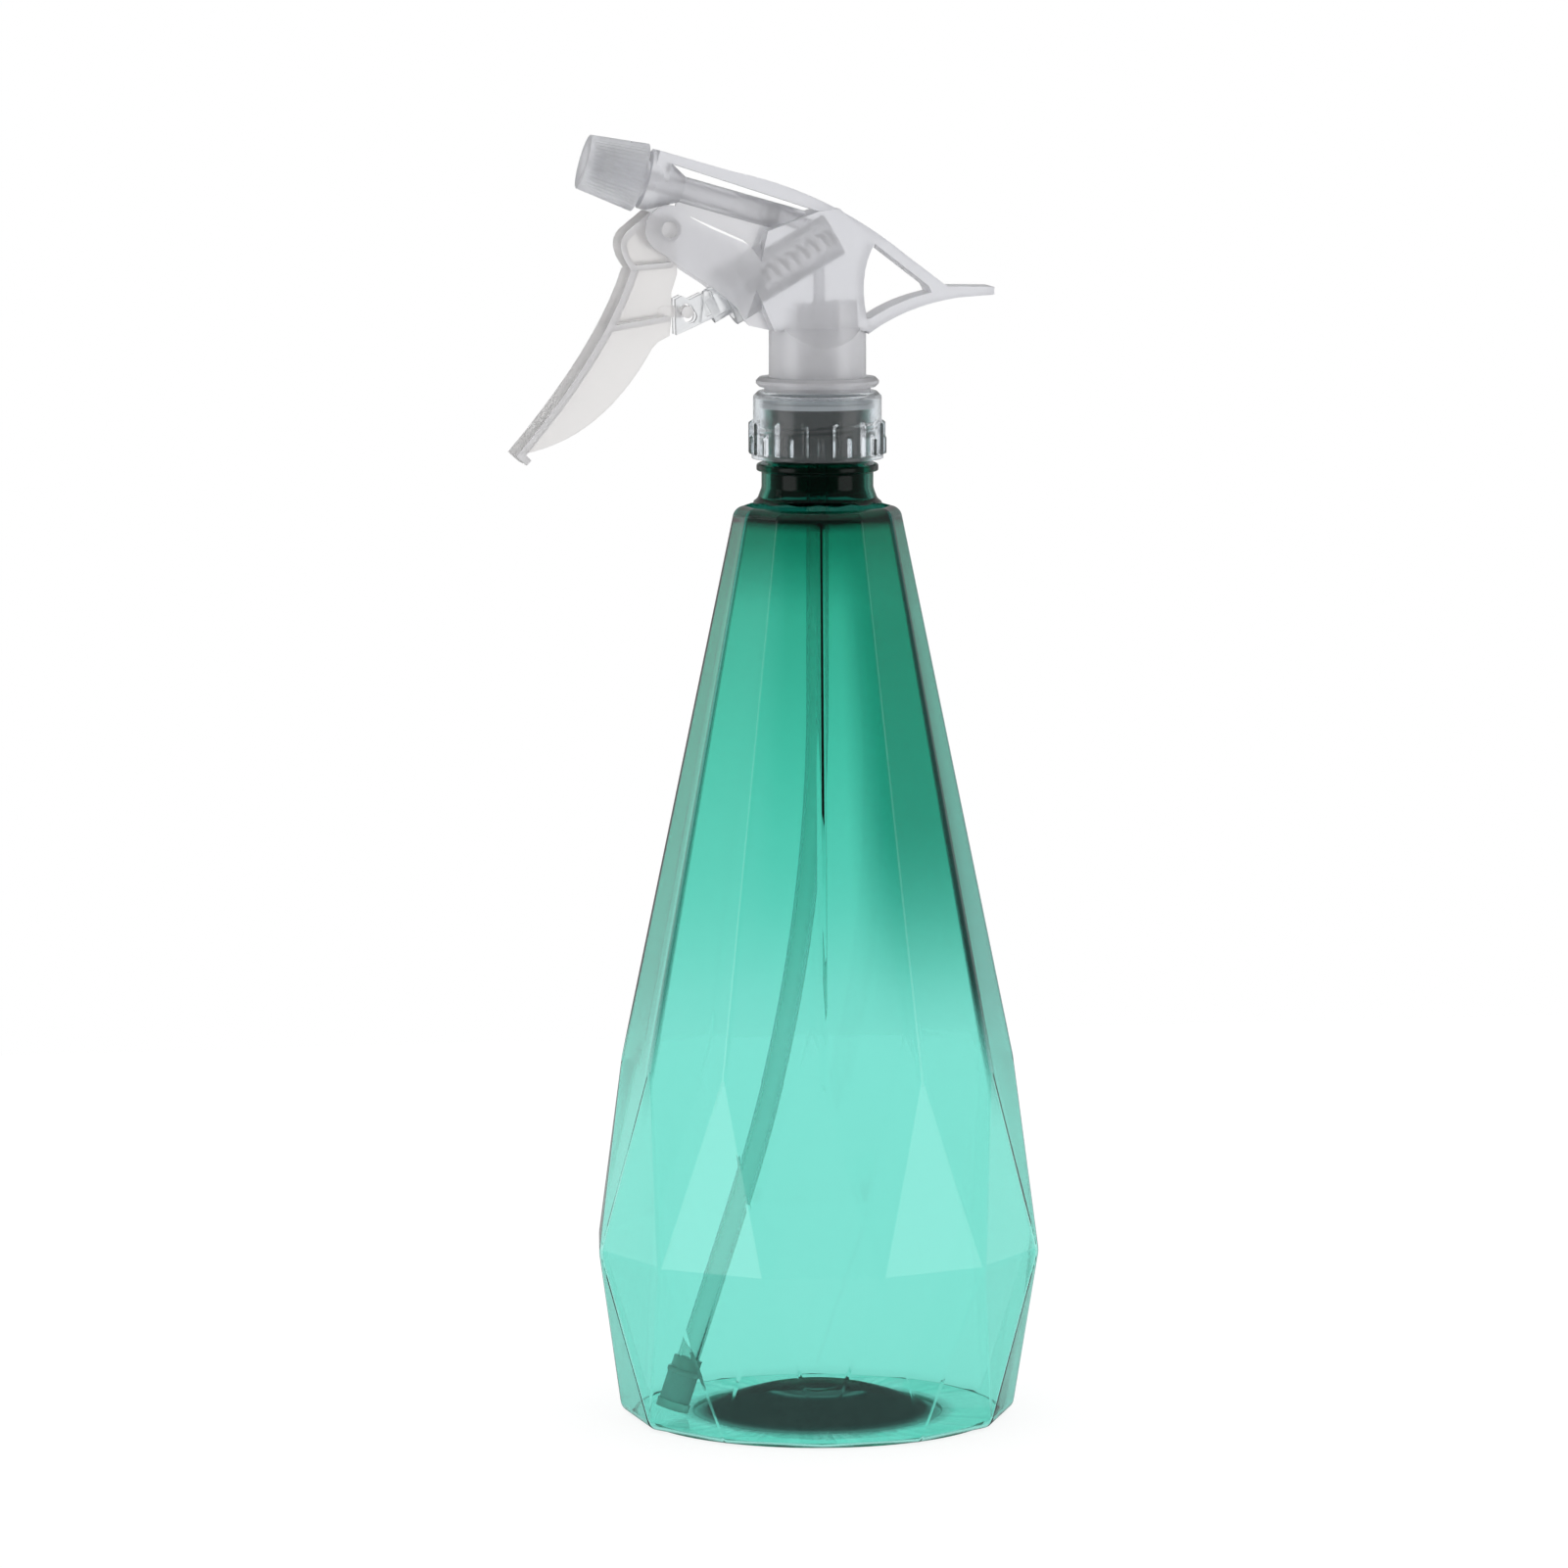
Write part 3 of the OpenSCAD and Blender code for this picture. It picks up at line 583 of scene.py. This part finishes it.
def make_bottle():
    body = gem("bottle_shell", 0)
    boolean(body, neck_solid(), "UNION")
    cavity = gem("cavity", WALL, INNER_SOFTENING)
    s = SHOULDER_Z
    bore = turned("bore", softened([(14.8, s - 6), (14.8, s - 0.8), (12.4, s + 1), (11.2, s + 4),
                                    (10.95, NECK_TOP + 2)], 0.6, closed=False), closed=False)
    boolean(cavity, bore, "UNION")
    boolean(cavity, turned("hump", push_up_path(WALL), closed=False), "DIFFERENCE")
    boolean(body, cavity, "DIFFERENCE")
    boolean(body, turned("dimple", push_up_path(0), closed=False), "DIFFERENCE")
    foot = turned("foot", softened([(29.5, 1), (29.5, 0), (43, 0), (43.6, 1)], 0.3))
    boolean(body, foot, "UNION")
    smooth(body, 42)
    finish_piece(body, "bottle", green, "green_pet", "bottle")
    body.data.materials.append(green_base)
    body.data.materials.append(green_neck)
    for face in body.data.polygons:
        at = face.center / MM
        if math.hypot(at.x, at.y) < PUSH_UP_R + 0.5 and at.z < 9:
            face.material_index = 1
        elif at.z > SHOULDER_Z + 1:
            face.material_index = 2


# ---------------------------------------------------------------- collar
def make_collar():
    """Ribbed outside, thread inside, and a roof that turns under the sprayer's stem."""
    low, top = COLLAR_LOW, COLLAR_TOP
    roof = top - 1.5
    bore, side, lip, hole = 14.15, 15.2, 15.6, 12.68
    path = softened([(bore, low), (lip, low), (lip, low + 0.9), (side, low + 1.2),
                     (side, top - 1.2), (14.0, top), (hole, top), (hole, roof), (bore, roof)],
                    0.3)
    path = fine(path + path[:1], 0.45)[:-1]

    def shape(a, r, z):
        if r > side - 0.1 and low + 0.95 < z < top - 1.3:
            k = round(a / TURN * COLLAR_RIBS) % COLLAR_RIBS
            end = low + (RIB_LONG if k % 2 == 0 else RIB_SHORT)
            turn_off = abs(a / TURN * COLLAR_RIBS - round(a / TURN * COLLAR_RIBS))
            across = turn_off * TURN / COLLAR_RIBS * r / RIB_HALF_WIDTH
            rise = max(0.0, 1 - across ** 2) ** 0.5
            taper = min(1.0, max(0.0, (end - z) / 0.7))
            return r + RIB_HEIGHT * rise * taper * min(1.0, (z - low - 0.95) / 0.4)
        if r < bore + 0.15 and low + 1 < z < roof - 1:
            return r - thread_bulge(a, z, low + 4.2, 1.4, 0.5, 0.8)
        return r

    obj = turned("collar_shell", path, COLLAR_RIBS * 14, shape)
    smooth(obj, 50)
    finish_piece(obj, "collar", collar_pp, "natural_pp", "collar")


# ---------------------------------------------------------------- nozzle cap
def make_nozzle():
    """Fluted cap, open at the back, with the spray hole in its front."""
    turn = joints["nozzle_turn"]
    length, back, front = CAP_LENGTH, CAP_BACK_R, CAP_FRONT_R
    path = softened([(5.6, 0), (back, 0), (front, length), (4.5, length), (1.3, length - 0.9),
                     (0.55, length - 0.9), (0.55, 12.5), (4.48, 12.5), (4.48, 9.4), (5.6, 9.4)],
                    0.22)
    path = fine(path + path[:1], 0.6)[:-1]

    def shape(a, r, z):
        side = back + (front - back) * z / length
        if r > side - 0.15 and 0.6 < z < length - 0.7:
            wave = 0.5 + 0.5 * math.cos(a * CAP_FLUTES)
            ends = min(1.0, (z - 0.6) / 0.4, (length - 0.7 - z) / 0.4)
            return r - 0.2 * (1 - wave) * ends
        return r

    obj = turned("nozzle_shell", path, CAP_FLUTES * 8, shape)
    along_axis(obj, turn["pos_m"], turn["axis"])
    smooth(obj, 50)
    finish_piece(obj, "nozzle", nozzle_pp, "natural_pp", "nozzle_cap")


# ---------------------------------------------------------------- spring and tube
def make_spring():
    """Coil with flat turns at both ends, along the piston's axis."""
    slide = joints["piston_slide"]
    mouth = Vector(PUMP_MOUTH) * MM
    closed = CLOSED_TURNS / SPRING_TURNS
    climb = CLOSED_CLIMB * SPRING_TURNS
    low = closed * climb
    points = []
    steps = SPRING_TURNS * 28
    for i in range(steps + 1):
        t = i / steps
        if t < closed:
            rise = t * climb
        elif t > 1 - closed:
            rise = 1 - (1 - t) * climb
        else:
            rise = low + (t - closed) / (1 - 2 * closed) * (1 - 2 * low)
        a = TURN * SPRING_TURNS * t
        points.append((SPRING_R * math.cos(a), SPRING_R * math.sin(a),
                       SPRING_START + WIRE_R + rise * (SPRING_END - SPRING_START - 2 * WIRE_R)))
    obj = sweep("spring_coil", points, WIRE_R, 12)
    along_axis(obj, mouth, slide["axis"])
    smooth(obj, 60, weighted=False)
    finish_piece(obj, "head", steel, "steel", "return_spring")
    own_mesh(obj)


def make_tube():
    """Hollow tube: straight down from the neck, then a long bend and a straight tail."""
    bend = math.radians(TUBE_BEND)
    turn_z = NECK_TOP - TUBE_STRAIGHT
    path = [(0, 0, NECK_TOP - TUBE_STRAIGHT * i / 10) for i in range(10)]
    for i in range(61):
        a = bend * i / 60
        path.append((TUBE_BEND_R * (1 - math.cos(a)), 0, turn_z - TUBE_BEND_R * math.sin(a)))
    x, _, z = path[-1]
    path += [(x + TUBE_TAIL * i / 6 * math.sin(bend), 0, z - TUBE_TAIL * i / 6 * math.cos(bend))
             for i in range(1, 7)]
    obj = sweep("dip_tube_wall", path, TUBE_R, 72, TUBE_BORE_R)
    obj.data.transform(Matrix.Rotation(math.radians(TUBE_AZIMUTH), 4, "Z"))
    obj.data.update()
    smooth(obj, 40, weighted=False)
    finish_piece(obj, "head", tube_pe, "tube_pe", "dip_tube")


# ---------------------------------------------------------------- CAD pieces with moulded edges
def mould(node, material, bevel):
    """Give a CAD node its material and small rounded edges."""
    obj = frame["nodes"][node]
    obj.data.materials.clear()
    obj.data.materials.append(material)
    weld = obj.modifiers.new("weld", "WELD")
    weld.merge_threshold = 1e-6
    flat = obj.modifiers.new("flat", "DECIMATE")
    flat.decimate_type = "DISSOLVE"
    flat.angle_limit = math.radians(0.02)
    if bevel:
        edges = obj.modifiers.new("edges", "BEVEL")
        edges.width = bevel * MM
        edges.segments = 2
        edges.limit_method = "ANGLE"
        edges.angle_limit = math.radians(28)
    obj.modifiers.new("normals", "WEIGHTED_NORMAL")
    for poly in obj.data.polygons:
        poly.use_smooth = True


# ---------------------------------------------------------------- studio and camera
def add_world():
    """White round the object; its gloss sees a dim room, soft boxes and a dark side."""
    world = bpy.data.worlds.new("studio")
    scene.world = world
    world.use_nodes = True
    nodes, links = world.node_tree.nodes, world.node_tree.links
    direction = nodes.new("ShaderNodeTexCoord").outputs["Generated"]
    split = nodes.new("ShaderNodeSeparateXYZ")
    links.new(direction, split.inputs["Vector"])
    room = ROOM_LIGHT
    for azimuth, inner, outer, light in STUDIO:
        box = toward(nodes, links, direction, azimuth, outer, inner)
        room = combine(nodes, links, "ADD", room, combine(nodes, links, "MULTIPLY", box, light))
    above = smooth_step(nodes, links, split.outputs["Z"], 0.3, 0.95)
    through = map_range(nodes, links, above, {"To Min": 1.0, "To Max": CEILING_LIGHT})

    path = nodes.new("ShaderNodeLightPath")
    level = DIFFUSE_LIGHT
    for ray, value in (("Is Glossy Ray", room), ("Is Transmission Ray", through),
                       ("Is Camera Ray", 1.0)):
        mix = nodes.new("ShaderNodeMix")
        links.new(path.outputs[ray], mix.inputs["Factor"])
        for socket, source in (("A", level), ("B", value)):
            if isinstance(source, float):
                mix.inputs[socket].default_value = source
            else:
                links.new(source, mix.inputs[socket])
        level = mix.outputs["Result"]
    back = nodes["Background"]
    back.inputs["Color"].default_value = (1, 1, 1, 1)
    links.new(level, back.inputs["Strength"])


def add_floor():
    """White table that glows evenly, but less in what the object mirrors."""
    size = FLOOR_HALF_SIZE
    floor = bpy.data.meshes.new("floor")
    floor.from_pydata([(-size, -size, 0), (size, -size, 0), (size, size, 0), (-size, size, 0)],
                      [], [(0, 1, 2, 3)])
    obj = bpy.data.objects.new("floor", floor)
    scene.collection.objects.link(obj)
    mat, nodes, links, shader = principled("floor_white", Base_Color=(0.2, 0.2, 0.2, 1),
                                           Roughness=0.8, Emission_Color=(1, 1, 1, 1))
    shader.inputs["Specular IOR Level"].default_value = 0.0
    path = nodes.new("ShaderNodeLightPath")
    straight = combine(nodes, links, "SUBTRACT", 1.0, path.outputs["Is Transmission Ray"])
    mirrored = combine(nodes, links, "MULTIPLY", path.outputs["Is Glossy Ray"], straight)
    loss = combine(nodes, links, "MULTIPLY", mirrored, FLOOR_MIRROR_LOSS)
    light = combine(nodes, links, "SUBTRACT", FLOOR_LIGHT, loss)
    links.new(light, shader.inputs["Emission Strength"])
    floor.materials.append(mat)


def add_camera():
    azimuth, pitch = math.radians(CAMERA_AZIMUTH), math.radians(CAMERA_PITCH)
    data = bpy.data.cameras.new("camera")
    data.sensor_width = CAMERA_SENSOR
    data.lens = CAMERA_LENS
    data.clip_start = 0.05
    data.shift_x = CAMERA_SHIFT_X
    data.shift_y = CAMERA_SHIFT_Y
    obj = bpy.data.objects.new("camera", data)
    obj.location = (math.sin(azimuth) * CAMERA_DISTANCE, -math.cos(azimuth) * CAMERA_DISTANCE,
                    CAMERA_HEIGHT)
    obj.rotation_euler = (math.pi / 2 + pitch, 0, azimuth)
    scene.collection.objects.link(obj)
    scene.camera = obj


add_camera()
add_world()
add_floor()
scene.view_settings.view_transform = "Standard"

make_bottle()
make_collar()
make_nozzle()
make_spring()
make_tube()
for moulded, plastic, edge in (
        ("housing", housing_pp, 0.15), ("trigger", trigger_pp, 0.12),
        ("piston_rod", rod_pp, 0.15), ("riser_insert", valve_pe, 0.15),
        ("pump_cylinder_plug", rod_pp, 0.15), ("collar_gasket", foam, 0.15),
        ("outlet_seat", valve_pe, 0), ("outlet_valve", valve_pe, 0.1),
        ("swirl_core", valve_pe, 0.1), ("nozzle_seal", foam, 0.15),
        ("piston_cup", cup_pe, 0.1), ("trigger_pin", trigger_pp, 0.2),
        ("inlet_ball", steel, 0), ("filter_sleeve", filter_pe, 0.15),
        ("filter_screen", mesh_pe, 0), ("filter_end_cap", filter_pe, 0.3)):
    mould(moulded, plastic, edge)

scene.cycles.max_bounces = 24
scene.cycles.transmission_bounces = 20
scene.cycles.transparent_max_bounces = 24
scene.cycles.glossy_bounces = 6
scene.cycles.caustics_refractive = True
